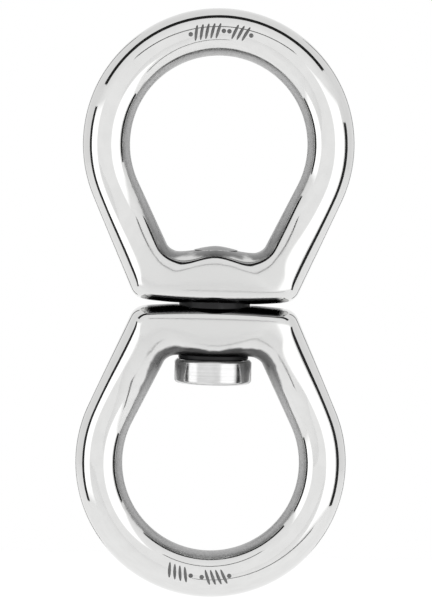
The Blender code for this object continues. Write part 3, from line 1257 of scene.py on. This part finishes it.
@dataclass
class TurnedRing:
    """A washer or bush, taken from its CAD node's box."""

    node: str
    name: str
    body: Body
    slot: Slot
    inner_radius: float
    lathe: Lathe
    edge: float = 0.12 * MM
    edge_steps: int = 4

    def build(self, finish: bpy.types.Material) -> bpy.types.Object:
        """Turns and dresses the ring."""
        low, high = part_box(self.node)
        bottom, top, outer, inner = low.z, high.z, high.x, self.inner_radius
        edge = self.edge
        corners = [
            ((outer - edge, top - edge), math.pi / 2),
            ((outer - edge, bottom + edge), 0.0),
            ((inner + edge, bottom + edge), -math.pi / 2),
            ((inner + edge, top - edge), -math.pi),
        ]
        profile = [
            tuple(point)
            for centre, start in corners
            for point in arc(Vector(centre), edge, start, start - math.pi / 2, self.edge_steps)
        ]
        mesh = self.lathe.turn(self.node + "_turned", profile, closed=True)
        return hand_over(self.name, mesh, finish, Berth(self.body, self.slot, (self.node,)))


# ---------------------------------------------------------------------------------------------------------
# The studio
# ---------------------------------------------------------------------------------------------------------


@dataclass(frozen=True)
class Card:
    """A flat card that stands off from the object and faces it, placed by direction from the joint."""

    name: str
    azimuth: float
    elevation: float
    distance: float
    width: float
    height: float
    strength: float
    fade: float = 0.0
    rim_strength: float = 1.1

    def outline(self, inset: float) -> list[Vector]:
        """The corners of the card, or of a frame inside it, about its middle and in its own plane."""
        half, tall = self.width / 2 - inset, self.height / 2 - inset
        return [Vector((half * x, tall * y, 0.0)) for x, y in ((-1, -1), (1, -1), (1, 1), (-1, 1))]

    def build(self) -> bpy.types.Object:
        """Stands the card up, hidden from the camera and out of the floor's light."""
        a, e = math.radians(self.azimuth), math.radians(self.elevation)
        away = Vector((math.sin(a) * math.cos(e), -math.cos(a) * math.cos(e), math.sin(e)))
        facing = (-away).to_track_quat("Z", "Y").to_matrix().to_4x4()
        place = Matrix.Translation(away * self.distance) @ facing
        points = [place @ corner for corner in self.outline(0.0) + self.outline(self.fade)]
        frame = [(k, (k + 1) % 4, 4 + (k + 1) % 4, 4 + k) for k in range(4)]
        mesh = bpy.data.meshes.new(self.name)
        mesh.from_pydata(points, [], [(4, 5, 6, 7)] + (frame if self.fade else []))
        store(mesh, "inside", "FLOAT", "value", [0.0] * 4 + [1.0] * 4)
        mesh.materials.append(StudioPaint(self.name, self.strength, self.rim_strength).make())
        return reflected_only(placed(self.name, mesh))


@dataclass(frozen=True)
class Arch:
    """A dark strip that passes over the object from side to side, like the gap in a light tent's roof."""

    name: str = "roof_gap"
    radius: float = 0.42
    front: float = -0.105
    back: float = 0.012
    left_foot: float = math.radians(150.0)
    right_foot: float = math.radians(40.0)
    strength: float = 0.02
    steps: int = 48

    def build(self) -> bpy.types.Object:
        """Bends the strip over the object."""
        centre = Vector((0.0, 0.0))
        rim = arc(centre, self.radius, self.right_foot, self.left_foot, self.steps)
        points = [(point.x, y, point.y) for point in rim for y in (self.front, self.back)]
        faces = [(2 * k, 2 * k + 1, 2 * k + 3, 2 * k + 2) for k in range(self.steps)]
        mesh = bpy.data.meshes.new(self.name)
        mesh.from_pydata(points, [], faces)
        mesh.materials.append(StudioPaint(self.name, self.strength, self.strength).make())
        return reflected_only(placed(self.name, mesh))


def reflected_only(card: bpy.types.Object) -> bpy.types.Object:
    """Leaves a studio card visible to reflections alone."""
    card.visible_camera = False
    card.visible_diffuse = False
    card.visible_shadow = False
    card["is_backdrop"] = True
    return card


@dataclass
class Studio:
    """A bright tent with two soft boxes, the dark gaps between its panels and a pale floor."""

    surround: float = 1.0
    front_gain: float = 0.17
    front_from: float = -0.2
    front_to: float = 0.9
    floor_drop: float = 0.19
    floor_half: float = 1.6
    lamp_size: float = 1.2
    lamp_power: float = 9.0
    lamp_height: float = 1.6
    cards: tuple[Card, ...] = (
        Card("left_softbox", -66.0, -3.0, 0.46, 0.36, 0.40, 1.75, fade=0.06),
        Card("right_softbox", 45.0, -2.0, 0.46, 0.44, 0.48, 1.75, fade=0.06),
        Card("left_gap", -83.0, -4.0, 0.42, 0.10, 0.36, 0.03),
        Card("right_gap", 82.0, -6.0, 0.42, 0.12, 0.32, 0.03),
        Card("left_back_gap", -152.0, 0.0, 0.46, 0.05, 0.60, 0.12),
        Card("right_back_gap", 152.0, 0.0, 0.46, 0.05, 0.60, 0.12),
        Card("front_rail", -4.0, 36.0, 0.333, 0.30, 0.022, 0.12),
        Card("low_front_rail", 20.0, -33.0, 0.42, 0.30, 0.022, 0.25),
    )

    def surroundings(self) -> None:
        """Makes the tent's white walls, a little brighter in front."""
        world = bpy.data.worlds.new("white_tent")
        bpy.context.scene.world = world
        world.use_nodes = True
        graph = Graph(world.node_tree)
        direction = graph.wire("ShaderNodeTexCoord", output="Generated")
        _, y, _ = graph.parts(direction)
        front = graph.ramped(0.0 - y, self.front_from, self.front_to)
        strength = self.surround + front * self.front_gain
        background = graph.wire("ShaderNodeBackground", inputs={"Color": WHITE, "Strength": strength})
        graph.node("ShaderNodeOutputWorld", inputs={"Surface": background})

    def floor(self, below: float) -> bpy.types.Object:
        """Lays the floor under the object.

        Args:
            below: The object's lowest point.

        Returns:
            The floor.
        """
        height, half = below - self.floor_drop, self.floor_half
        corners = [(-half, -half, height), (half, -half, height), (half, half, height), (-half, half, height)]
        mesh = bpy.data.meshes.new("floor_board")
        mesh.from_pydata(corners, [], [(0, 1, 2, 3)])
        mesh.materials.append(FloorPaint().make())
        board = placed("floor_board", mesh)
        board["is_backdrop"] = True
        return board

    def key_light(self) -> bpy.types.Object:
        """Hangs a wide soft lamp overhead, which gives the floor a faint shadow."""
        lamp = bpy.data.lights.new("overhead_soft_light", "AREA")
        lamp.shape = "SQUARE"
        lamp.size = self.lamp_size
        lamp.energy = self.lamp_power
        holder = bpy.data.objects.new("overhead_soft_light", lamp)
        bpy.context.scene.collection.objects.link(holder)
        holder.location = (0.0, 0.0, self.lamp_height)
        holder.visible_glossy = False
        holder.visible_camera = False
        return holder

    def build(self) -> None:
        """Puts the studio up round the object."""
        low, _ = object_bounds()
        self.surroundings()
        for card in self.cards:
            card.build()
        Arch().build()
        self.floor(low.z)
        self.key_light()
        bpy.context.scene.view_settings.view_transform = "Standard"
        log.info("studio: %d cards", len(self.cards))


@dataclass
class Viewpoint:
    """A distant camera, a little above the joint."""

    distance: float = 0.80
    elevation: float = math.radians(3.2)
    frame_height: float = 0.1271
    aim_x: float = 0.27 * MM
    aim_z: float = 0.84 * MM
    roll: float = math.radians(1.48)
    sensor: float = 36.0

    def build(self) -> bpy.types.Object:
        """Sets the scene's camera."""
        lens = bpy.data.cameras.new("front_camera")
        lens.sensor_width = self.sensor
        lens.lens = self.sensor * self.distance / self.frame_height
        lens.clip_start = 0.01
        lens.clip_end = 50.0
        camera = bpy.data.objects.new("front_camera", lens)
        bpy.context.scene.collection.objects.link(camera)
        raised = Matrix.Translation((self.aim_x, 0.0, self.aim_z)) @ Matrix.Rotation(-self.elevation, 4, "X")
        back = raised @ Matrix.Translation((0.0, -self.distance, 0.0))
        level = Matrix.Rotation(-self.roll, 4, "Y") @ Matrix.Rotation(math.pi / 2, 4, "X")
        camera.matrix_world = back @ level
        bpy.context.scene.camera = camera
        log.info("camera at %.2f m", self.distance)
        return camera


# ---------------------------------------------------------------------------------------------------------
# The whole
# ---------------------------------------------------------------------------------------------------------

UPPER_ROW = ".|||||..|||."
LOWER_ROW = "||||. .||||."


def main() -> None:
    """Builds the swivel's pieces over the frame, then the studio and camera."""
    logging.basicConfig(level=logging.INFO, format="%(name)s: %(message)s")
    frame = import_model()
    buffed = MirrorPolish()
    steel = buffed.make()
    # Painted shade: inside the lower eye, by the boss and the head, the colour is painted darker and over a
    # wider zone.
    painted_shade_inside = {"boss_ground_shade_colour": (0.085, 0.085, 0.085), "boss_spread": 0.26}
    lower_steel = replace(buffed, name="buffed_stainless_lower", **painted_shade_inside).make()
    turned = TurnedMetal("turned_stainless", (0.62, 0.62, 0.62), 0.15, hammered_above=8.0 * MM).make()
    bronze = TurnedMetal("bearing_bronze", (0.45, 0.30, 0.14), 0.30, shade=0.7).make()
    stamped = TurnedMetal("stamped_marks", (0.16, 0.16, 0.16), 0.34, shade=0.6).make()
    acetal = TurnedPlastic().make()
    shape = EyeShape.from_frame(frame["record"])
    lathe = Lathe()
    Eye("upper_bail", Body.UPPER_EYE, shape, lathe, turned_over=False, joint_shade_from=0.80).build(steel)
    Eye("lower_bail", Body.LOWER_EYE, shape, lathe, turned_over=True, joint_shade_from=0.64).build(lower_steel)
    StampRow("upper_marks", Body.UPPER_EYE, shape, UPPER_ROW, False, -6.5 * MM).build(stamped)
    StampRow("lower_marks", Body.LOWER_EYE, shape, LOWER_ROW, True, -8.2 * MM).build(stamped)
    axle = Axle(lathe)
    axle.build(turned)
    ring_bore = axle.journal_radius + FIT
    washer = TurnedRing("thrust_washer", "thrust_ring", Body.THRUST_WASHER, Slot.ACETAL, ring_bore, lathe)
    washer.build(acetal)
    under_head = TurnedRing("head_washer", "head_ring", Body.HEAD_WASHER, Slot.ACETAL, ring_bore, lathe)
    under_head.build(acetal)
    TurnedRing("bush", "bearing_bush", Body.LOWER_EYE, Slot.BRONZE, ring_bore, lathe).build(bronze)
    Studio().build()
    Viewpoint().build()


if __name__ == "__main__":
    main()
